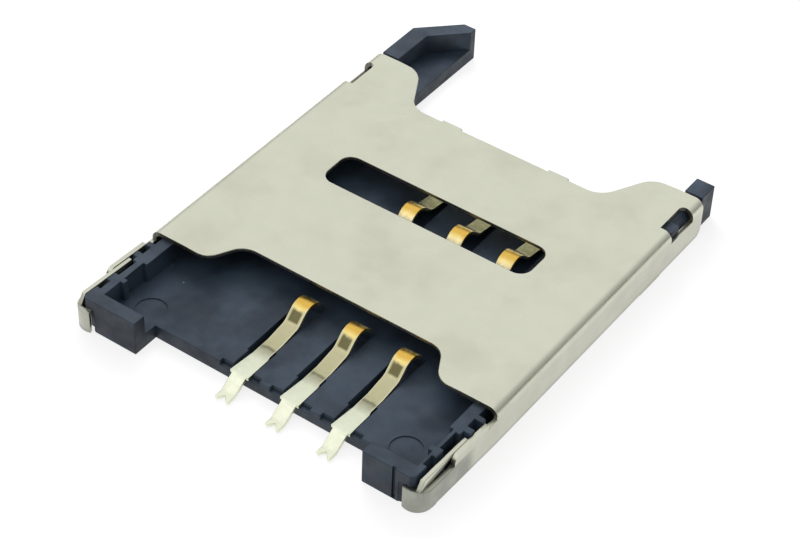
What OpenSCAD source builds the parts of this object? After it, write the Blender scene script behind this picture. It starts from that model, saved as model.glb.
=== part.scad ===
// SIM card socket: a moulded base, a folded shell and six leaf contacts.
// Millimetres. X runs across the card, Y towards the card mouth, Z up from the board.
// The origin is on the board, on the card's centre line, under the crests of the front contact row.

/* [Card] */
// Width of the card
card_w = 15; // [14.5:0.1:16]
// Length of the card
card_l = 25; // [24:0.1:27]
// Thickness of the card
card_t = 0.8; // [0.7:0.02:0.9]
// Gap between the card and each side wall
card_side_gap = 0.15; // [0.05:0.01:0.3]
// Free height above the card
card_headroom = 0.2; // [0.1:0.02:0.4]
// Distance from the card's leading edge to its first row of pads
pad_inset = 4.85; // [4.6:0.05:5.2]

/* [Contacts] */
// Spacing of the contacts across the card
pitch = 2.54; // [2.3:0.01:2.8]
// Offset of the columns from the centre line
column_offset = 0.02; // [0:0.01:0.1]
// Spacing of the two rows along the card
row_gap = 7.62; // [7:0.01:8.5]
// Thickness of the contact sheet
leaf_t = 0.15; // [0.1:0.01:0.2]
// Width of the sprung beam
beam_w = 0.74; // [0.5:0.02:0.8]
// Width of the fixed root
root_w = 0.92; // [0.88:0.02:1.2]
// Width of the solder tail
tail_w = 0.69; // [0.5:0.02:0.8]
// Height of the free crest above the board
crest_z = 1.46; // [1.35:0.01:1.5]
// Distance from the crest to the hinge line of the beam
beam_l = 3; // [2.6:0.05:3.3]
// Distance from the crest to the end of the tail
tail_reach = 5.47; // [5.2:0.01:5.8]
// Length of the flat foot at the end of the tail
foot_l = 0.42; // [0.3:0.02:0.5]
// Depth of the notch in the end of the tail
fork_depth = 0.26; // [0.1:0.02:0.28]

/* [Base] */
// Thickness of the floor
floor_t = 0.7; // [0.6:0.02:0.9]
// Thickness of the side walls
wall_t = 0.9; // [0.8:0.01:1]
// Thickness of the wall that stops the card
stop_t = 0.65; // [0.55:0.01:0.8]
// Distance from the crest to the end of the floor, on both rows
floor_reach = 4.22; // [4:0.02:4.4]
// Length of each front corner wall from the inside of the side wall
corner_l = 1.93; // [1.5:0.05:2.5]
// Length of the right wall past the shell
post_l = 1.4; // [1:0.05:2]
// Width of the ledge under the card beside the arm
ledge_w = 1.4; // [1.2:0.05:2]
// Distance from the end of the arm to the end of the card
arm_short = 0.4; // [0.2:0.05:1]
// Size of the slanted corner outside the arm
arm_bevel = 1.75; // [1.4:0.01:1.9]
// Thickness of the slanted end of the arm
arm_end_t = 0.75; // [0.6:0.01:0.9]
// Gap on the left of the beam in its pocket, seen from the tail
left_gap = 0.27; // [0.12:0.01:0.4]
// Gap on the right of the beam in its pocket
right_gap = 0.06; // [0.04:0.01:0.12]
// Thickness of the floor under the pockets
web_t = 0.15; // [0.1:0.01:0.2]

/* [Shell] */
// Thickness of the shell sheet
sheet_t = 0.2; // [0.15:0.01:0.25]
// Gap between the base and the shell's side walls
shell_fit = 0.05; // [0.02:0.01:0.08]
// Outside radius of the long bends
bend_r = 0.45; // [0.35:0.01:0.5]
// Distance from the front crests to the middle of the front edge
front_mid = 0.82; // [0.5:0.02:0.9]
// Depth of the recess in the front edge
front_recess = 1.56; // [1.4:0.02:1.7]
// Distance from the back crests to the middle of the back edge
back_mid = 5.16; // [5:0.02:5.4]
// Depth of the recess in the back edge
back_recess = 2.44; // [2.2:0.02:2.7]
// Width of each front lobe along its straight edge
front_lobe_w = 2.4; // [2:0.05:2.7]
// Width of each back lobe along its straight edge
back_lobe_w = 1.83; // [1.6:0.01:2.1]
// Radius of the curves between the front lobes and their recess
front_curve_r = 0.9; // [0.7:0.02:1]
// Radius of the curves between the back lobes and their recess
back_curve_r = 1.15; // [0.9:0.01:1.3]
// Steepness of those curves, in degrees
curve_angle = 62; // [50:1:70]
// Length of the window across the card
window_l = 10.6; // [9.8:0.1:10.8]
// Width of the window along the card
window_w = 2.06; // [1.9:0.02:2.4]
// Radius of the window corners
window_r = 0.6; // [0.4:0.05:0.9]
// Gap between the bottom edge of the side walls and the board
wall_lift = 0.05; // [0.02:0.01:0.1]
// Outward splay of the left front spring, in degrees
left_splay_angle = 2.6; // [0:0.1:4]
// Inward lean of the right front spring, in degrees
right_lean_angle = 1.2; // [0:0.1:1.4]

/* [Hidden] */
$fn = 48;
// Cutters overshoot the faces they cut by this much.
over = 0.5;

// Fitting gaps between pieces.
leaf_gap = 0.06;
leaf_lift = 0.02;
leaf_sink = 0.04;
tail_lift = 0.03;
tab_gap = 0.04;
spring_gap = 0.13;
bevel_gap = 0.05;
latch_gap = 0.15;
arm_gap = 0.1;

// Heights above the board.
wall_z = floor_t + card_t + card_headroom;
shell_z = wall_z + sheet_t;
channel_z = floor_t - leaf_sink - leaf_t - leaf_lift;
leaf_z = channel_z + leaf_lift;

// Half widths from the centre line outwards.
wall_in = card_w / 2 + card_side_gap;
wall_out = wall_in + wall_t;
shell_in = wall_out + shell_fit;
shell_out = shell_in + sheet_t;
corner_in = wall_in - corner_l;

// Stations along the card.
stop_y = -pad_inset;
front_y = stop_y - stop_t;
floor_front = -floor_reach;
floor_back = row_gap + floor_reach;
plate_front = front_mid - front_recess;
plate_mid_back = row_gap + back_mid;
plate_back = plate_mid_back + back_recess;
post_end = plate_back + post_l;
arm_end = stop_y + card_l - arm_short;

// The arm stands a little further out than the side wall.
arm_shift = 0.1;
arm_in = wall_in + arm_shift;
arm_out = wall_out + arm_shift;
ledge_in = -wall_in + ledge_w;

// Root of a leaf, which stands a little to the left of its beam.
root_shift = 0.03;
root_left = root_w / 2 + root_shift;
root_right = root_w / 2 - root_shift;

// Pocket, channel and notch of one contact, measured from its crest.
pocket_end = 0.9;
pocket_left = beam_w / 2 + left_gap;
pocket_right = beam_w / 2 + right_gap;
channel_left = root_left + leaf_gap;
channel_right = root_right + leaf_gap;
notch_left_gap = 0.6;
notch_right_gap = 0.5;
notch_l = 0.22;
notch_drop = 0.03;
notch_left = root_left + notch_left_gap;
notch_right = root_right + notch_right_gap;
notch_z = channel_z - notch_drop;

// Round moulding marks in the floor.
mark_r = 0.7;
mark_depth = 0.05;
mark_in = 1.17;
mark_lead = 0.62;

// Two recesses in the inside of the side walls, with a rib between them, measured from the card stop.
guide_depth = 0.2;
guide_rib_lead = 0.98;
guide_rib_l = 0.26;
guide_l = 2.43;
guide_spans = [[0, guide_rib_lead], [guide_rib_lead + guide_rib_l, guide_l]];

// Groove in the right front corner wall.
groove_w = 0.16;
groove_depth = 0.1;
groove_in = 0.5;
groove_z = 0.05;

// Bevel under the shell's bends, and the latch that stands in the opening of the right one.
base_bevel = bend_r - sheet_t + bevel_gap;
bevel_over = 0.1;
latch_proud = 0.12;
latch_share = 0.45;

// Grooves across the side walls behind the plate.
back_groove_l = 0.34;
back_groove_depth = 0.4;

// Front tabs of the shell and the lip of the base above them.
tab_z = 1.1;
tab_lead = 0.15;
tab_in = wall_in + tab_lead;
tab_bow = 0.2;
corner_r = 0.7;
tab_turn = asin((shell_out - corner_r - tab_in) / corner_r);
wall_front = front_y + corner_r;
cheek_in = 0.2;
nose_z = tab_z + bevel_gap;
lip_bevel = 0.15;

// Side springs of the shell: a strip inside the wall, and the step where the wall drops to the tab.
strip_gap = 0.02;
strip_out = shell_in - strip_gap;
strip_in = strip_out - sheet_t;
strip_overlap = 0.25;
strip_foot_z = tab_z - strip_overlap;
strip_drop = 0.12;
strip_z = wall_z - strip_drop;
strip_lead = 0.2;
strip_front = front_y - tab_bow + strip_lead;
strip_slant = 0.3;
strip_root_l = 0.7;
strip_root_slant = 0.2;
strip_rise = 0.03;
strip_h = 0.2;
strip_short = 1.68;
strip_end = plate_front - strip_short;
drop_short = 2.83;
drop_y = plate_front - drop_short;
drop_r = 0.35;
spring_root = 0.1;
relief_l = 0.57;
relief_h = 0.2;

// Room for the springs in the base, and the pockets where it runs deeper.
room_drop = 0.1;
room_z = strip_foot_z - room_drop;
room_x = strip_in - spring_gap;
room_past = 0.15;
room_end = strip_end + room_past;
pocket_z = web_t;
pocket_depth = 0.2;
pocket_lead = 0.85;
pocket_l = 1.05;
rib_l = 0.5;
rear_pocket_depth = 0.05;
rear_pocket_lead = 0.3;
rear_pocket_l = 0.5;
end_pocket_lead = 0.48;
end_pocket_past = 0.3;
pockets = [
    [room_x - pocket_depth, front_y + pocket_lead, drop_y - rib_l],
    [room_x - pocket_depth, drop_y, drop_y + pocket_l],
    [room_x - rear_pocket_depth, room_end + rear_pocket_lead, room_end + rear_pocket_lead + rear_pocket_l],
    [room_x - rear_pocket_depth, plate_front - end_pocket_lead, plate_front + end_pocket_past]
];

// Openings in the long bends.
bend_window_l = 1.8;
bend_window_w = 0.62;
bend_window_h = 0.6;
bend_window_lead = 2.68;
bend_window_r = 0.25;
bend_window_y = plate_back - bend_window_lead;
bend_window_in = shell_out - bend_window_w;
bend_window_z = shell_z - bend_window_h;

// Feet and corners of the side walls.
foot_lead = 2.6;
foot_w = 1.6;
wall_corner_r = 0.4;

// Corners, nubs and window place of the top plate.
plate_corner_r = 0.5;
window_lead = 0.25;
nub_x = 2.83;
nub_w = 1.05;
nub_l = 0.13;

// Place of a column of contacts, counted from the right.
function column_x(i) = column_offset + (1.5 - i) * pitch;

// Points on an arc.
function arc(c, r, from, to, steps = 8) =
    [for (i = [0 : steps]) let (a = from + (to - from) * i / steps) c + r * [cos(a), sin(a)]];

// Middle line of a leaf in Y and Z, from the end of the tail to the free tip.
leaf_mid_z = leaf_z + leaf_t / 2;
foot_mid_z = tail_lift + leaf_t / 2;
root_past = 0.06;
root_end = floor_reach + root_past;
shoulder_l = 0.2;
tail_bend = [0.17, 0.06];
lift_bend = [-2, 0];
low_bend = [-1, 0.17];
rise_bend = [-0.82, 0.26];
crest_r = 0.625;
crest_turn = 45;
crest_c = [0, crest_z - leaf_t / 2 - crest_r];
tip_l = 0.32;
fork_share = 0.6;
fork_w = tail_w * fork_share;
leaf_line = concat(
    [
        [-tail_reach, foot_mid_z],
        [-tail_reach + foot_l, foot_mid_z],
        [-floor_reach, leaf_mid_z] - tail_bend,
        [-root_end, leaf_mid_z],
        [-beam_l, leaf_mid_z],
        [0, leaf_mid_z] + lift_bend,
        [0, leaf_mid_z] + low_bend,
        [0, leaf_mid_z] + rise_bend
    ],
    arc(crest_c, crest_r, 90 + crest_turn, 90 - crest_turn, 10),
    [crest_c + crest_r * [sin(crest_turn), cos(crest_turn)] + tip_l * [cos(crest_turn), -sin(crest_turn)]]
);

// Offset of point i of a line to one side, with mitred corners.
function heading(a, b) = (b - a) / norm(b - a);
function square_to(v) = [-v[1], v[0]];
function before(p, i) = i == 0 ? heading(p[0], p[1]) : heading(p[i - 1], p[i]);
function after(p, i) = i == len(p) - 1 ? before(p, i) : heading(p[i], p[i + 1]);
function shifted(p, i, d) =
    let (n = square_to(before(p, i)) + square_to(after(p, i)))
    p[i] + d * 2 * n / (n * n);
function ribbon(p, t) = concat(
    [for (i = [0 : len(p) - 1]) shifted(p, i, t / 2)],
    [for (i = [len(p) - 1 : -1 : 0]) shifted(p, i, -t / 2)]
);

// Draws its children on the right and mirrored on the left.
module both_sides() {
    children();
    mirror([1, 0, 0]) children();
}

// Block given by its low and high corners.
module block(low, high) {
    translate(low) cube(high - low);
}

// Places its children at each of the six contacts, front row first.
module at_contacts() {
    for (i = [0 : 2]) {
        translate([column_x(i), 0, 0]) children();
        translate([column_x(i), row_gap, 0]) rotate([0, 0, 180]) children();
    }
}

// Outline of a leaf seen from above.
module leaf_plan() {
    difference() {
        union() {
            translate([-tail_w / 2, -tail_reach - over]) square([tail_w, tail_reach + over - floor_reach]);
            polygon([
                [-root_left, -root_end],
                [root_right, -root_end],
                [root_right, -beam_l],
                [beam_w / 2, shoulder_l - beam_l],
                [-beam_w / 2, -beam_l]
            ]);
            translate([-beam_w / 2, -floor_reach]) square([beam_w, floor_reach + pocket_end]);
        }
        polygon([
            [-fork_w / 2, -tail_reach - over],
            [-fork_w / 2, -tail_reach],
            [0, -tail_reach + fork_depth],
            [fork_w / 2, -tail_reach],
            [fork_w / 2, -tail_reach - over]
        ]);
    }
}

// One leaf contact with its crest over the origin.
module leaf() {
    color([0.85, 0.78, 0.56])
        intersection() {
            rotate([90, 0, 90])
                linear_extrude(height = root_w + over, center = true) polygon(ribbon(leaf_line, leaf_t));
            linear_extrude(height = shell_z) leaf_plan();
        }
}

// Contacts of the front row.
module supply_contact() {
    translate([column_x(0), 0, 0]) leaf();
}

module reset_contact() {
    translate([column_x(1), 0, 0]) leaf();
}

module clock_contact() {
    translate([column_x(2), 0, 0]) leaf();
}

// Contacts of the back row, turned end for end.
module ground_contact() {
    translate([column_x(0), row_gap, 0]) rotate([0, 0, 180]) leaf();
}

module spare_contact() {
    translate([column_x(1), row_gap, 0]) rotate([0, 0, 180]) leaf();
}

module data_contact() {
    translate([column_x(2), row_gap, 0]) rotate([0, 0, 180]) leaf();
}

// Pocket under the beam, channel under the root and notch beside the tail.
module leaf_opening() {
    block([-pocket_left, -beam_l, web_t], [pocket_right, pocket_end, wall_z]);
    block([-channel_left, -floor_reach - over, channel_z], [channel_right, over - beam_l, wall_z]);
    block([-notch_left, -floor_reach - over, notch_z], [notch_right, -floor_reach + notch_l, wall_z]);
}

// Floor, with its two front corners.
module base_floor() {
    block([-wall_out, floor_front, 0], [wall_out, floor_back, floor_t]);
    both_sides() block([corner_in, front_y, 0], [wall_out, floor_front + over, floor_t]);
}

// Outline of the arm seen from above.
module arm_outline() {
    polygon([
        [-wall_out, floor_back - over],
        [-wall_out, plate_back + arm_gap],
        [-arm_out, plate_back + arm_gap],
        [-arm_out, arm_end - arm_bevel],
        [-arm_out + arm_bevel, arm_end],
        [ledge_in, arm_end],
        [ledge_in, floor_back - over]
    ]);
}

// Arm at the back left: a ledge with a wall around its outside.
module arm() {
    slant = arm_end - arm_bevel + arm_out - arm_end_t * sqrt(2);
    linear_extrude(height = floor_t) arm_outline();
    difference() {
        linear_extrude(height = wall_z) arm_outline();
        translate([0, 0, floor_t])
            linear_extrude(height = wall_z)
                polygon([
                    [-arm_in, floor_back - 2 * over],
                    [-arm_in, slant - arm_in],
                    [ledge_in + over, slant + ledge_in + over],
                    [ledge_in + over, floor_back - 2 * over]
                ]);
    }
}

// Side walls, front corner walls and the post.
module base_walls() {
    block([-wall_out, front_y, 0], [-wall_in, floor_back, wall_z]);
    block([wall_in, front_y, 0], [wall_out, post_end, wall_z]);
    both_sides() block([corner_in, front_y, 0], [wall_in + over, stop_y, wall_z]);
}

// Slanted cut across a front corner whose upright edge stands at x.
module corner_cut(x, size, low, high) {
    translate([x - size / 2, front_y + size / 2, 0])
        rotate([0, 0, -45]) block([0, -size, low], [size, size, high]);
}

// Turns its children outwards about the front end of the plate on the right side.
module turned(angle) {
    translate([shell_in, plate_front, 0])
        rotate([0, 0, angle])
            translate([-shell_in, -plate_front, 0]) children();
}

// Room in the outside of the right wall for the shell's spring and tab.
module spring_room() {
    block([room_x, front_y - over, room_z], [shell_out + over, room_end, wall_z + over]);
    block([wall_out, front_y - over, -over], [shell_out + over, room_end, wall_z]);
    for (p = pockets)
        block([p[0], p[1], pocket_z], [shell_out + over, p[2], wall_z + over]);
    tab_room();
    corner_cut(wall_out, corner_r, -over, nose_z);
    corner_cut(room_x, lip_bevel, nose_z, wall_z + over);
}

// Recess in the front face for the tab, with a slanted cheek beside it.
module tab_room() {
    edge = tab_in - tab_gap;
    depth = sheet_t + tab_gap;
    block([edge, front_y - over, -over], [wall_out + over, front_y + depth, nose_z]);
    translate([0, 0, -over])
        linear_extrude(height = nose_z + over)
            polygon([
                [edge - cheek_in, front_y - over],
                [edge - cheek_in, front_y],
                [edge + over, front_y + depth],
                [edge + over, front_y - over]
            ]);
}

// Bevel along the outer top edge, which clears the inside of the shell's bend.
module shell_bevel() {
    translate([wall_out, 0, wall_z])
        rotate([-90, 0, 0])
            translate([0, 0, plate_front - bevel_over])
                linear_extrude(height = plate_back - plate_front + 2 * bevel_over)
                    polygon([
                        [over, -over],
                        [-base_bevel - over, -over],
                        [-base_bevel, 0],
                        [0, base_bevel],
                        [over, base_bevel]
                    ]);
}

// Groove in the front face of the right corner.
module front_groove() {
    block(
        [wall_in - groove_in, front_y - over, groove_z],
        [wall_in - groove_in + groove_w, front_y + groove_depth, wall_z + over]
    );
}

// Round moulding mark and wall recesses of one front corner.
module corner_details() {
    translate([wall_in - mark_in, floor_front + mark_lead, floor_t - mark_depth])
        cylinder(r = mark_r, h = wall_z);
    for (span = guide_spans)
        block(
            [wall_in - over, stop_y + span[0], floor_t],
            [wall_in + guide_depth, stop_y + span[1], wall_z + over]
        );
}

// Groove across a side wall, just behind the back edge of the plate.
module back_groove() {
    block(
        [wall_in - over, plate_back, wall_z - back_groove_depth],
        [shell_out + over, plate_back + back_groove_l, wall_z + over]
    );
}

// Latch that the shell's right bend snaps over.
module latch() {
    y = bend_window_y + latch_gap;
    l = bend_window_l - 2 * latch_gap;
    block([wall_out - base_bevel - over, y, floor_t], [wall_out, y + l * latch_share, wall_z]);
    block(
        [wall_out - over, y, bend_window_z + tab_gap],
        [wall_out + latch_proud, y + l * latch_share, wall_z]
    );
}

module base() {
    color([0.16, 0.18, 0.21]) {
        difference() {
            union() {
                base_floor();
                base_walls();
                arm();
            }
            at_contacts() leaf_opening();
            turned(-right_lean_angle) spring_room();
            mirror([1, 0, 0]) turned(left_splay_angle) spring_room();
            both_sides() shell_bevel();
            both_sides() corner_details();
            both_sides() back_groove();
            front_groove();
        }
        latch();
    }
}

// Arch with rounded shoulders.
module arch(half, top, r) {
    translate([-half, 0]) square([2 * half, top - r]);
    translate([r - half, 0]) square([2 * (half - r), top]);
    for (x = [r - half, half - r])
        translate([x, top - r]) circle(r);
}

// Curve from the middle of a recess of this depth to the lobe beside it.
function recess_edge(depth, lobe_x, r) =
    let (
        rise = 2 * r * (1 - cos(curve_angle)),
        run = (depth - rise) / tan(curve_angle),
        span = run + 2 * r * sin(curve_angle)
    )
    concat(
        arc([lobe_x - span, depth - r], r, 90, 90 - curve_angle),
        arc([lobe_x, r], r, 270 - curve_angle, 270)
    );

// Right half of a recess in an edge that lies on the X axis, cut towards +Y.
module recess(depth, lobe_w, r) {
    lobe_x = shell_out - lobe_w;
    polygon(concat(
        [[0, -over], [0, depth]],
        recess_edge(depth, lobe_x, r),
        [[lobe_x, -over]]
    ));
}

// Top plate seen from above.
module plate_plan() {
    difference() {
        translate([-shell_out, plate_front]) square([2 * shell_out, plate_back - plate_front]);
        translate([0, plate_front]) both_sides() recess(front_recess, front_lobe_w, front_curve_r);
        translate([0, plate_back])
            mirror([0, 1]) both_sides() recess(back_recess, back_lobe_w, back_curve_r);
        translate([0, row_gap - window_lead]) window();
        both_sides() back_corner();
    }
    both_sides() translate([nub_x - nub_w / 2, plate_mid_back - over]) square([nub_w, over + nub_l]);
}

// Window over the back row of contacts.
module window() {
    for (x = [-1, 1], y = [-1, 1])
        translate([x * (window_l / 2 - window_r), y * (window_w / 2 - window_r)]) circle(window_r);
    square([window_l - 2 * window_r, window_w], center = true);
    square([window_l, window_w - 2 * window_r], center = true);
}

// What the rounded back corner of the plate takes away.
module back_corner() {
    translate([shell_out - plate_corner_r, plate_back - plate_corner_r])
        difference() {
            square(plate_corner_r + over);
            circle(plate_corner_r);
        }
}

// Right side wall beside the plate seen from the side, along Y and up Z.
module side_plan() {
    difference() {
        translate([plate_front, wall_lift]) square([plate_back - plate_front, shell_z]);
        translate([plate_back - wall_corner_r, wall_lift + wall_corner_r])
            difference() {
                translate([0, -wall_corner_r - over]) square(wall_corner_r + over);
                circle(wall_corner_r);
            }
    }
    translate([row_gap + foot_lead, 0]) square([foot_w, wall_lift + over]);
}

// Wall in front of the plate seen from the side: a relief beside the plate, and down behind the tab.
module spring_plan() {
    difference() {
        translate([wall_front, wall_lift])
            square([plate_front + spring_root - wall_front, strip_z - wall_lift]);
        translate([wall_front - over, tab_z]) square([drop_y - wall_front + over, strip_z]);
        translate([plate_front - relief_l, strip_z - relief_h]) square([relief_l, strip_z]);
        translate([drop_y + drop_r, strip_z - drop_r])
            difference() {
                translate([-drop_r - over, 0]) square(drop_r + over);
                circle(drop_r);
            }
    }
}

// Folded sheet behind the front edge of the plate, before its openings are cut.
module folded_sheet() {
    rotate([90, 0, 0])
        translate([0, 0, -plate_back])
            linear_extrude(height = plate_back - plate_front)
                difference() {
                    arch(shell_out, shell_z, bend_r);
                    arch(shell_in, wall_z, bend_r - sheet_t);
                }
}

// Strip of the spring seen from the side: deep at the tab, narrow at its free end.
module strip_plan() {
    polygon([
        [strip_front, strip_foot_z],
        [strip_front + strip_root_l, strip_foot_z],
        [strip_front + strip_root_l + strip_root_slant, tab_z + strip_rise],
        [drop_y, strip_z - strip_h],
        [strip_end, strip_z - strip_h],
        [strip_end, strip_z],
        [strip_front + strip_slant, strip_z],
        [strip_front, tab_z]
    ]);
}

// Front tab of the right wall: round the corner of the base and up into the spring.
module front_tab() {
    corner = [shell_out - corner_r, wall_front - tab_bow];
    reach = 2 * corner_r;
    linear_extrude(height = tab_z) {
        translate([shell_in, corner[1]]) square([sheet_t, tab_bow + spring_root]);
        translate(corner)
            intersection() {
                difference() {
                    circle(corner_r);
                    circle(corner_r - sheet_t);
                }
                polygon([[0, 0], -reach * [sin(tab_turn), cos(tab_turn)], [reach, -reach], [reach, 0]]);
            }
    }
    translate([strip_in, 0, 0]) rotate([90, 0, 90]) linear_extrude(height = sheet_t) strip_plan();
}

// Front spring of the right wall: the wall in front of the plate, with its tab and strip.
module front_spring() {
    translate([shell_in, 0, 0]) rotate([90, 0, 90]) linear_extrude(height = sheet_t) spring_plan();
    front_tab();
}

// Opening in the right bend that the latch of the base stands in.
module bend_window() {
    translate([bend_window_in, bend_window_y, bend_window_z])
        linear_extrude(height = shell_z) {
            square([shell_out - bend_window_in + over, bend_window_l - bend_window_r]);
            translate([bend_window_r, 0]) square([shell_out - bend_window_in + over, bend_window_l]);
            translate([bend_window_r, bend_window_l - bend_window_r]) circle(bend_window_r);
        }
}

module shell() {
    color([0.8, 0.8, 0.76]) {
        difference() {
            intersection() {
                folded_sheet();
                union() {
                    linear_extrude(height = 2 * shell_z)
                        intersection() {
                            plate_plan();
                            square([2 * (shell_out - bend_r), 4 * card_l], center = true);
                        }
                    both_sides()
                        translate([shell_out - bend_r, 0, 0])
                            rotate([90, 0, 90]) linear_extrude(height = bend_r + over) side_plan();
                }
            }
            both_sides() bend_window();
        }
        turned(-right_lean_angle) front_spring();
        mirror([1, 0, 0]) turned(left_splay_angle) front_spring();
    }
}

base();
shell();
supply_contact();
reset_contact();
clock_contact();
ground_contact();
spare_contact();
data_contact();
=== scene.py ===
"""Looks of a SIM card socket: moulded base, plated shell and six leaf contacts on a white table."""

import math

import bmesh
import bpy
from mathutils import Matrix, Vector
from mathutils.geometry import intersect_point_line


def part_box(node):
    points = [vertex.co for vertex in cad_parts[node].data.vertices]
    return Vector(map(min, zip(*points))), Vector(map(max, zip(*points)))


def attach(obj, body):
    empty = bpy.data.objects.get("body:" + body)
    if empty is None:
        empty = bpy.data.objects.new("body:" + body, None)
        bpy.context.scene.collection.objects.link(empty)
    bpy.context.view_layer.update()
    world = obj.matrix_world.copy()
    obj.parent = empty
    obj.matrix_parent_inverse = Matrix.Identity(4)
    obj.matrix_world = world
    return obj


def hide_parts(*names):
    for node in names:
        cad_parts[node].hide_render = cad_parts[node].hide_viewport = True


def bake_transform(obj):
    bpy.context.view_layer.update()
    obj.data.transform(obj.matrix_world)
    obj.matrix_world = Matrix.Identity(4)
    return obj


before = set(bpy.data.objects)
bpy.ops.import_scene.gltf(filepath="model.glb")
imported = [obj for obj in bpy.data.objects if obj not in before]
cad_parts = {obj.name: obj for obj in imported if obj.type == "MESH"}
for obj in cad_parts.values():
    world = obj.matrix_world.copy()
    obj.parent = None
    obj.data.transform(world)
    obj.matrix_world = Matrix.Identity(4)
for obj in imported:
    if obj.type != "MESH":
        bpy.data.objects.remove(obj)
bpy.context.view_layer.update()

MM = 0.001

# Camera: the point it aims at, its distance, its angles in degrees and its lens.
AIM = Vector((0.94, 3.61, 1.9)) * MM
DISTANCE = 93.63 * MM
AZIMUTH = 34.17
ELEVATION = 42.0
ROLL = 2.39
LENS_MM = 101.54
SENSOR_MM = 36
CLIP_START = DISTANCE / 20

# Lamps: direction from the aim point, size and distance in metres, watts, and whether metal mirrors it.
LAMPS = {
    "front_box": ((-0.40, -0.50, 0.77), 0.25, 0.4, 0.035, True),
    "back_box": ((-0.60, 0.55, 0.58), 0.045, 0.06, 0.032, False),
}

# How the room's light fades: axis, the two places on it and the light there.
ROOM_FADES = (("Z", 0.0, 0.5, 0.35, 1.0), ("X", 0.05, 0.65, 1.0, 0.58))

# Table: half its width in metres, how far it lies under the board plane, and its glow.
TABLE_HALF = 3.0
TABLE_DROP = 0.002 * MM
TABLE_GLOW = 0.78

# Edge rounding of the pieces.
BASE_EDGE = 0.035 * MM
SHELL_EDGE = 0.04 * MM
LEAF_EDGE = 0.02 * MM
EDGE_SEGMENTS = 2

# Mesh clean-up: points that are one, and the angles of flat, sharp and creased edges.
WELD = 0.0005 * MM
FLAT_ANGLE = math.radians(1)
SHARP_ANGLE = math.radians(40)
CREASE_ANGLE = math.radians(50)

# Contacts and the names of their leaf bodies.
CONTACTS = {
    "supply_contact": "supply_leaf",
    "reset_contact": "reset_leaf",
    "clock_contact": "clock_leaf",
    "ground_contact": "ground_leaf",
    "spare_contact": "spare_leaf",
    "data_contact": "data_leaf",
}
HOUSING = "housing"

# A leaf is cut into slices of this length.
SLICE = 0.12 * MM

# The shell's sheet, and the underside of its top plate.
SHEET_T = 0.2 * MM
PLATE_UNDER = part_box("shell")[1][2] - SHEET_T

# Limits on the parts of a unit normal that tell the shell's faces apart.
STEEP = 0.3
UPRIGHT = 0.1
LEVEL = 0.5
END_ON = 0.2
HIGHLIGHT_TILT = 0.3

# Places on the shell in millimetres: where its painted shades start and where they are full.
TAB_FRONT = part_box("shell")[0][1] / MM
TAB_TOP = 1.1
# Painted shade on the front tabs and low walls: where it starts and is full along the shell, and its
# reach across.
TAB_SHADE_NONE = TAB_FRONT + 3.7
TAB_SHADE_FULL = TAB_FRONT + 2.9
TAB_SHADE_SIDE = 8.0
# Painted shade on the bend and walls, by height: where it starts and where it is full.
WALL_SHADE_NONE = 1.75
WALL_SHADE_FULL = 1.35
# Painted shadow along the shell's bottom edge, where it meets the table: where it starts and where it is
# full.
BOTTOM_SHADE_NONE = 0.3
BOTTOM_SHADE_FULL = 0.05

# Stretch of a contact that its plating's colours cover, in millimetres from its crest.
PLATING_FIRST = -1.0
PLATING_LAST = 6.0


class Paint:
    """A material's nodes, with short calls to add and join them. Lengths are in millimetres."""

    def __init__(self, name):
        self.material = bpy.data.materials.new(name)
        self.material.use_nodes = True
        self.tree = self.material.node_tree
        self.shader = self.tree.nodes["Principled BSDF"]
        place = self.node("TexCoord")
        scale = {"Vector": place.outputs["Object"], "Scale": (1 / MM,) * 3}
        self.millimetres = self.node("Mapping", scale).outputs["Vector"]

    def node(self, kind, inputs=None, **properties):
        """Adds a shader node with these properties and inputs."""
        made = self.tree.nodes.new("ShaderNode" + kind)
        for key, value in properties.items():
            setattr(made, key, value)
        for key, value in (inputs or {}).items():
            self.feed(made.inputs[key], value)
        return made

    def feed(self, socket, value):
        """Sets a socket to a constant, or joins it to another node's output."""
        if isinstance(value, bpy.types.NodeSocket):
            self.tree.links.new(value, socket)
        else:
            socket.default_value = value

    def set(self, **inputs):
        """Feeds the shader's inputs, named in lower case with underscores."""
        for key, value in inputs.items():
            label = key.replace("_", " ").title().replace("Ior", "IOR")
            self.feed(self.shader.inputs[label], value)

    def noise(self, size, detail=2.0, stretch=(1, 1, 1)):
        """Noise with blobs of about this size, longer along the axes with a large stretch."""
        scale = {"Vector": self.millimetres, "Scale": tuple(1 / s for s in stretch)}
        vector = self.node("Mapping", scale).outputs["Vector"]
        made = self.node("TexNoise", {"Vector": vector, "Scale": 1 / size, "Detail": detail})
        return made.outputs["Fac"]

    def spread(self, value, low, high, to_low=0.0, to_high=1.0):
        """Maps low..high to to_low..to_high with soft ends."""
        ends = {"Value": value, "From Min": low, "From Max": high, "To Min": to_low, "To Max": to_high}
        return self.node("MapRange", ends, interpolation_type="SMOOTHSTEP").outputs["Result"]

    def maths(self, operation, a, b):
        """Result of an operation on two values, such as ADD or MULTIPLY."""
        made = self.node("Math", operation=operation)
        self.feed(made.inputs[0], a)
        self.feed(made.inputs[1], b)
        return made.outputs["Value"]

    def times(self, a, b):
        return self.maths("MULTIPLY", a, b)

    def mix(self, factor, a, b):
        """Colour a where the factor is 0, and colour b where it is 1."""
        made = self.node("Mix", data_type="RGBA")
        self.feed(made.inputs["Factor"], factor)
        self.feed(made.inputs[6], a)
        self.feed(made.inputs[7], b)
        return made.outputs[2]

    def bump(self, height, distance, strength=1.0, under=None):
        """Normal of a bump, on top of the bump under it."""
        inputs = {"Height": height, "Distance": distance * MM, "Strength": strength}
        if under:
            inputs["Normal"] = under
        return self.node("Bump", inputs).outputs["Normal"]


def rgb(red, green, blue):
    """Linear colour from the values of an sRGB picture, 0 to 255."""
    channels = [c / 255 for c in (red, green, blue)]
    linear = [c / 12.92 if c <= 0.04045 else ((c + 0.055) / 1.055) ** 2.4 for c in channels]
    return (*linear, 1.0)


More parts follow.
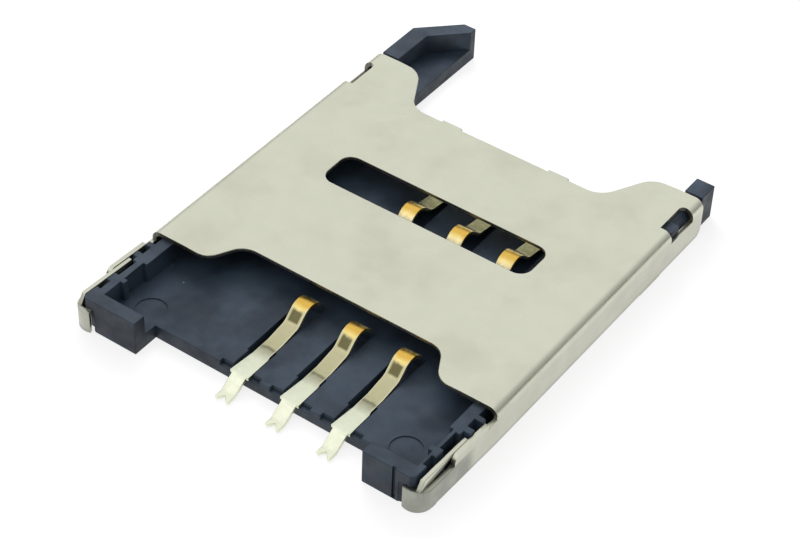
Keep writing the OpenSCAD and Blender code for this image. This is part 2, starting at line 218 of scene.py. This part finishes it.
def moulded_plastic():
    """Blue-black moulded plastic: fine matt grain, cloudy sheen and a few pale specks of dust."""
    paint = Paint("moulded_plastic")
    dark = (0.014, 0.023, 0.037, 1)
    pale = (0.030, 0.047, 0.070, 1)
    dusty = rgb(190, 196, 200)
    cloud = paint.spread(paint.noise(1.8, 3.0), 0.35, 0.65)
    body = paint.mix(cloud, dark, pale)
    cells = paint.node("TexVoronoi", {"Vector": paint.millimetres, "Scale": 1.1}).outputs["Distance"]
    areas = paint.spread(paint.noise(1.5), 0.5, 0.6, 0.0, 0.35)
    dust = paint.times(paint.spread(cells, 0.05, 0.03), areas)
    paint.set(base_color=paint.mix(dust, body, dusty))
    paint.set(roughness=paint.spread(paint.noise(0.6, 3.0), 0.3, 0.7, 0.42, 0.58))
    paint.set(specular_ior_level=0.4)
    grain = paint.bump(paint.noise(0.05, 2.0), 0.004, 0.5)
    paint.set(normal=paint.bump(paint.noise(2.2), 0.02, 0.3, grain))
    return paint.material


def plated_sheet():
    """Satin plated steel: rolling grain, stains and hair scratches, with painted shade on the bend, walls
    and front tabs and a painted shadow along the bottom.
    """
    paint = Paint("plated_sheet")
    clean = (0.66, 0.67, 0.55, 1)
    stained = (0.60, 0.605, 0.49, 1)
    scratched = (0.76, 0.77, 0.68, 1)
    wall_shade = (0.50, 0.505, 0.425, 1)
    tab_shade = (0.305, 0.31, 0.27, 1)
    bottom_shade = (0.30, 0.30, 0.27, 1)
    place = paint.node("SeparateXYZ", {"Vector": paint.millimetres}).outputs

    stain = paint.spread(paint.noise(2.6, 4.0), 0.45, 0.75)
    body = paint.mix(stain, clean, stained)
    hair = paint.spread(paint.noise(0.06, 2.0, (1, 60, 1)), 0.68, 0.74, 0.0, 0.06)
    body = paint.mix(hair, body, scratched)
    # Painted shade: below the top plate the bend and walls get darker, standing for their darker
    # reflections.
    body = paint.mix(paint.spread(place["Z"], WALL_SHADE_NONE, WALL_SHADE_FULL, 0.0, 0.5), body, wall_shade)

    # Painted shade: the front tabs and the low walls by them are darkened in patches, more on the right,
    # for their darker reflections.
    near = paint.spread(place["Y"], TAB_SHADE_NONE, TAB_SHADE_FULL)
    low = paint.spread(place["Z"], TAB_TOP + 0.15, TAB_TOP - 0.05)
    right = paint.spread(place["X"], -TAB_SHADE_SIDE, TAB_SHADE_SIDE, 0.55, 1.0)
    patches = paint.spread(paint.noise(0.7, 3.0), 0.2, 0.6, 0.7, 1.0)
    tab_shade_mask = paint.times(paint.times(near, low), patches)
    body = paint.mix(paint.times(tab_shade_mask, right), body, tab_shade)

    # Painted shadow: darker towards the bottom edge, where the shell meets the table.
    bottom_shade_mask = paint.spread(place["Z"], BOTTOM_SHADE_NONE, BOTTOM_SHADE_FULL, 0.0, 0.5)
    paint.set(base_color=paint.mix(bottom_shade_mask, body, bottom_shade))
    paint.set(metallic=1.0)
    paint.set(roughness=paint.spread(paint.noise(0.9, 3.0), 0.3, 0.7, 0.26, 0.36))
    grain = paint.bump(paint.noise(0.05, 2.0, (1, 30, 1)), 0.002, 0.1)
    paint.set(normal=paint.bump(paint.noise(3.5), 0.02, 0.25, grain))
    return paint.material


def cut_steel_painted_shade():
    """Bare steel across the thickness of the sheet, painted dark for the shade that falls on it."""
    paint = Paint("cut_steel_painted_shade")
    dark = (0.13, 0.125, 0.105, 1)
    pale = (0.22, 0.212, 0.18, 1)
    streak = paint.spread(paint.noise(0.12, 2.0, (1, 1, 8)), 0.35, 0.65)
    paint.set(base_color=paint.mix(streak, dark, pale))
    paint.set(metallic=1.0, roughness=0.5)
    paint.set(normal=paint.bump(paint.noise(0.06, 2.0), 0.002, 0.3))
    return paint.material


def edge_painted_highlight():
    """Painted highlight: bright metal on the rounded edges of the sheet that look up and back."""
    paint = Paint("edge_painted_highlight")
    satin = (0.72, 0.72, 0.66, 1)
    bright = (0.95, 0.95, 0.93, 1)
    highlight_patches = paint.spread(paint.noise(0.5, 2.0), 0.35, 0.6)
    paint.set(base_color=paint.mix(highlight_patches, satin, bright))
    paint.set(metallic=1.0, roughness=0.35)
    paint.set(normal=paint.bump(paint.noise(0.06, 2.0), 0.002, 0.3))
    return paint.material


def plating_colours(paint, along):
    """Colours of a contact's plating along it, from the free end over the gold crest to the tin tail,
    with painted highlights on the crest and a painted shadow where the beam meets the root.
    """
    stops = [
        # Painted highlights: pale cream and pale yellow towards the free end, and bright yellow where the
        # gold meets the rise.
        (-0.7, rgb(250, 244, 215)),
        (-0.4, rgb(244, 222, 150)),
        (-0.2, rgb(226, 186, 88)),
        (0.15, rgb(226, 184, 86)),
        (0.34, rgb(242, 218, 136)),
        (0.5, rgb(206, 198, 152)),
        (1.0, rgb(196, 191, 154)),
        (2.3, rgb(188, 185, 148)),
        # Painted shadow: the dark band and the grey after it, at the step between the beam and the root.
        (2.43, rgb(122, 120, 98)),
        (2.55, rgb(168, 168, 142)),
        (2.8, rgb(190, 191, 168)),
        (3.15, rgb(222, 226, 203)),
        (4.2, rgb(228, 233, 211)),
        (4.4, rgb(236, 239, 215)),
    ]
    ramp = paint.node("ValToRGB")
    share = {"Value": along, "From Min": PLATING_FIRST, "From Max": PLATING_LAST}
    paint.feed(ramp.inputs["Fac"], paint.node("MapRange", share).outputs["Result"])
    elements = ramp.color_ramp.elements
    while len(elements) < len(stops):
        elements.new(0.5)
    for element, (distance, colour) in zip(elements, stops):
        element.position = (distance - PLATING_FIRST) / (PLATING_LAST - PLATING_FIRST)
        element.color = colour
    return ramp.outputs["Color"]


def contact_plating():
    """Tin on the tail and root, a champagne beam with a painted highlight along its edges and a painted
    dark reflection on its rise, and a gold crest.
    """
    paint = Paint("contact_plating")
    dark_reflection = rgb(112, 108, 76)
    bright = rgb(240, 236, 205)
    place = paint.node("Attribute", attribute_name="from_crest").outputs["Fac"]
    across = paint.node("Attribute", attribute_name="across").outputs["Fac"]
    wander = paint.spread(paint.noise(0.25, 2.0), 0.0, 1.0, -0.06, 0.06)
    along = paint.maths("ADD", place, wander)

    # Painted dark reflection: a darker patch in the middle of the rise.
    middle = paint.times(paint.spread(across, -0.3, -0.2), paint.spread(across, 0.28, 0.2))
    rise = paint.times(paint.spread(along, 0.4, 0.52), paint.spread(place, 0.9, 0.8))
    with_dark_reflection = paint.mix(paint.times(middle, rise), plating_colours(paint, along), dark_reflection)

    # Painted highlight along both edges of the beam.
    edge_highlight = paint.spread(paint.times(across, across), 0.08, 0.13, 0.0, 0.55)
    beam = paint.times(paint.spread(place, 0.1, 0.3), paint.spread(place, 3.1, 2.6))
    paint.set(base_color=paint.mix(paint.times(edge_highlight, beam), with_dark_reflection, bright))
    paint.set(metallic=1.0)
    paint.set(roughness=paint.spread(paint.noise(0.2, 3.0), 0.3, 0.7, 0.26, 0.4))
    paint.set(normal=paint.bump(paint.noise(0.08, 2.0, (1, 12, 1)), 0.002, 0.2))
    return paint.material


def table_top():
    """White table that the camera and mirroring metal see as bright paper."""
    paint = Paint("table_top")
    darker = (0.22, 0.22, 0.22, 1)
    paler = (0.24, 0.24, 0.24, 1)
    ray = paint.node("LightPath").outputs
    seen = paint.maths("MAXIMUM", ray["Is Camera Ray"], ray["Is Glossy Ray"])
    paint.set(base_color=paint.mix(paint.noise(40), darker, paler))
    paint.set(roughness=0.9, specular_ior_level=0.1, emission_color=(1, 1, 1, 1))
    paint.set(emission_strength=paint.times(seen, TABLE_GLOW))
    return paint.material


def apart(a, b):
    """Least distance between two edges of one flat face."""
    gaps = []
    for ends, line in ((a.verts, b.verts), (b.verts, a.verts)):
        p, q = line[0].co, line[1].co
        for vertex in ends:
            part = intersect_point_line(vertex.co, p, q)[1]
            gaps.append((vertex.co - p.lerp(q, min(max(part, 0), 1))).length)
    return min(gaps)


def has_room(edge, width):
    """True where no other edge of the two faces beside an edge comes nearer than width."""
    ends = set(edge.verts)
    others = {e for f in edge.link_faces for e in f.edges if ends.isdisjoint(e.verts)}
    beside = {e for v in edge.verts for e in v.link_edges}
    return all(apart(edge, e) > width for e in others) and all(e.calc_length() > width for e in beside)


def is_cut(face):
    """True for the bare faces that cross the thickness of the shell's sheet, which get a painted shade.

    Below the plate, the wrapped ends of the tabs, the tops of the springs and what looks down are plated.
    """
    lowest = min(v.co.z for v in face.verts)
    if lowest > PLATE_UNDER - WELD:
        return abs(face.normal.z) < STEEP
    wraps_tab = abs(face.normal.z) < UPRIGHT and lowest < WELD
    on_spring = face.normal.z > LEVEL and face.calc_center_median().y < 0
    looks_down = face.normal.z < -LEVEL
    return abs(face.normal.x) < END_ON and not (wraps_tab or on_spring or looks_down)


def gets_painted_highlight(face):
    """True for the faces that look up and back, which get a painted highlight."""
    return face.normal.y > HIGHLIGHT_TILT and face.normal.z > HIGHLIGHT_TILT


def rounded_form(node, edge, bare=None):
    """Mesh under edit of a CAD node, with rounded outer edges.

    Where bare is given, the faces that it picks get material 1, a painted shade, and the rounded edges
    that look up and back get material 2, a painted highlight.
    """
    form = bmesh.new()
    form.from_mesh(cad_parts[node].data)
    bmesh.ops.remove_doubles(form, verts=form.verts, dist=WELD)
    bmesh.ops.dissolve_limit(form, angle_limit=FLAT_ANGLE, verts=form.verts, edges=form.edges)
    for face in form.faces:
        face.material_index = int(bare is not None and bare(face))
    outer = [e for e in form.edges if e.is_convex and e.calc_face_angle(0) > SHARP_ANGLE]
    outer = [e for e in outer if has_room(e, 2 * edge)]
    made = bmesh.ops.bevel(
        form,
        geom=outer,
        offset=edge,
        offset_type="OFFSET",
        segments=EDGE_SEGMENTS,
        profile=0.5,
        affect="EDGES",
        material=0,
    )
    if bare is not None:
        # Painted highlight on the rounded edges that look up and back.
        for face in filter(gets_painted_highlight, made["faces"]):
            face.material_index = 2
    return form


def shaded_piece(node, form):
    """Object made from a mesh under edit, with smooth shading between its creases."""
    form.verts.index_update()
    points = [v.co.copy() for v in form.verts]
    faces = [[v.index for v in f.verts] for f in form.faces]
    slots = [f.material_index for f in form.faces]
    form.free()
    mesh = bpy.data.meshes.new(node + "_formed")
    mesh.from_pydata(points, [], faces)
    mesh.polygons.foreach_set("material_index", slots)
    mesh.shade_smooth()
    mesh.set_sharp_from_angle(angle=CREASE_ANGLE)
    piece = bpy.data.objects.new(node + "_formed", mesh)
    bpy.context.collection.objects.link(piece)
    shading = piece.modifiers.new("shading", "WEIGHTED_NORMAL")
    shading.keep_sharp = True
    shading.weight = 100
    view = bpy.context.evaluated_depsgraph_get()
    piece.data = bpy.data.meshes.new_from_object(piece.evaluated_get(view))
    piece.modifiers.clear()
    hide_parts(node)
    return piece


def crest_of(node):
    """Middle of the highest line of a contact."""
    points = [v.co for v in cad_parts[node].data.vertices]
    top = max(p.z for p in points)
    high = [p for p in points if p.z > top - WELD]
    return sum(high, Vector()) / len(high)


def leaf_contact(node, material):
    """A rounded contact, cut into slices, that stores each point's distance from its crest and across it.
    """
    low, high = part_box(node)
    crest = crest_of(node)
    towards_tail = -1 if crest.y - low[1] > high[1] - crest.y else 1
    form = rounded_form(node, LEAF_EDGE)
    for i in range(1, int((high[1] - low[1]) / SLICE)):
        every = form.verts[:] + form.edges[:] + form.faces[:]
        bmesh.ops.bisect_plane(form, geom=every, plane_co=(0, low[1] + i * SLICE, 0), plane_no=(0, 1, 0))
    piece = shaded_piece(node, form)
    points = piece.data.vertices
    from_crest = piece.data.attributes.new("from_crest", "FLOAT", "POINT")
    across = piece.data.attributes.new("across", "FLOAT", "POINT")
    from_crest.data.foreach_set("value", [(v.co.y - crest.y) * towards_tail / MM for v in points])
    across.data.foreach_set("value", [(v.co.x - crest.x) / MM for v in points])
    piece.data.materials.append(material)
    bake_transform(piece)


def fixed_piece(node, edge, materials, bare=None):
    """A rounded copy of a fixed node."""
    piece = shaded_piece(node, rounded_form(node, edge, bare))
    for material in materials:
        piece.data.materials.append(material)
    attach(piece, HOUSING)


def dress_nodes(materials):
    """Gives each CAD node the material of the piece that stands for it."""
    for name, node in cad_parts.items():
        node.data.materials.clear()
        node.data.materials.append(materials.get(name, materials["contact"]))


def soft_box(name, towards, size, distance, power, mirrored):
    """Square area light at a distance from the aim point, facing it."""
    light = bpy.data.lights.new(name, "AREA")
    light.size = size
    light.energy = power
    box = bpy.data.objects.new(name, light)
    bpy.context.collection.objects.link(box)
    direction = Vector(towards).normalized()
    box.location = AIM + direction * distance
    box.rotation_euler = direction.to_track_quat("Z", "Y").to_euler()
    box.visible_camera = False
    box.visible_glossy = mirrored


def table():
    """Flat table under the object."""
    half = TABLE_HALF
    corners = [(-half, -half, 0), (half, -half, 0), (half, half, 0), (-half, half, 0)]
    mesh = bpy.data.meshes.new("table")
    mesh.from_pydata(corners, [], [(0, 1, 2, 3)])
    top = bpy.data.objects.new("table", mesh)
    bpy.context.collection.objects.link(top)
    top.location.z = -TABLE_DROP
    mesh.materials.append(table_top())


def surroundings():
    """Pale room light that fades towards the horizon and towards the right."""
    world = bpy.data.worlds.new("room")
    bpy.context.scene.world = world
    world.use_nodes = True
    tree = world.node_tree
    light = tree.nodes["Background"]
    light.inputs["Color"].default_value = (1.0, 1.0, 1.0, 1)
    place = tree.nodes.new("ShaderNodeTexCoord")
    split = tree.nodes.new("ShaderNodeSeparateXYZ")
    tree.links.new(place.outputs["Generated"], split.inputs["Vector"])
    strength = tree.nodes.new("ShaderNodeMath")
    strength.operation = "MULTIPLY"
    for socket, (axis, low, high, at_low, at_high) in zip(strength.inputs, ROOM_FADES):
        fade = tree.nodes.new("ShaderNodeMapRange")
        fade.interpolation_type = "SMOOTHSTEP"
        ends = {"From Min": low, "From Max": high, "To Min": at_low, "To Max": at_high}
        for key, value in ends.items():
            fade.inputs[key].default_value = value
        tree.links.new(split.outputs[axis], fade.inputs["Value"])
        tree.links.new(fade.outputs["Result"], socket)
    tree.links.new(strength.outputs["Value"], light.inputs["Strength"])


def camera():
    """Camera at the photo's place, turned about the aim point."""
    lens = bpy.data.cameras.new("camera")
    lens.lens = LENS_MM
    lens.sensor_width = SENSOR_MM
    lens.sensor_fit = "HORIZONTAL"
    lens.clip_start = CLIP_START
    seen = bpy.data.objects.new("camera", lens)
    bpy.context.collection.objects.link(seen)
    turn = (
        Matrix.Rotation(math.radians(AZIMUTH), 4, "Z")
        @ Matrix.Rotation(math.radians(90 - ELEVATION), 4, "X")
        @ Matrix.Rotation(math.radians(ROLL), 4, "Z")
    )
    back = turn @ Vector((0, 0, 1))
    seen.matrix_world = Matrix.Translation(AIM + back * DISTANCE) @ turn
    bpy.context.scene.camera = seen


plastic = moulded_plastic()
sheet = plated_sheet()
plating = contact_plating()
dress_nodes({"base": plastic, "shell": sheet, "contact": plating})
fixed_piece("base", BASE_EDGE, [plastic])
fixed_piece("shell", SHELL_EDGE, [sheet, cut_steel_painted_shade(), edge_painted_highlight()], is_cut)
for contact, leaf_body in CONTACTS.items():
    leaf_contact(contact, plating)

table()
surroundings()
for lamp, settings in LAMPS.items():
    soft_box(lamp, *settings)
camera()
bpy.context.scene.view_settings.view_transform = "Standard"
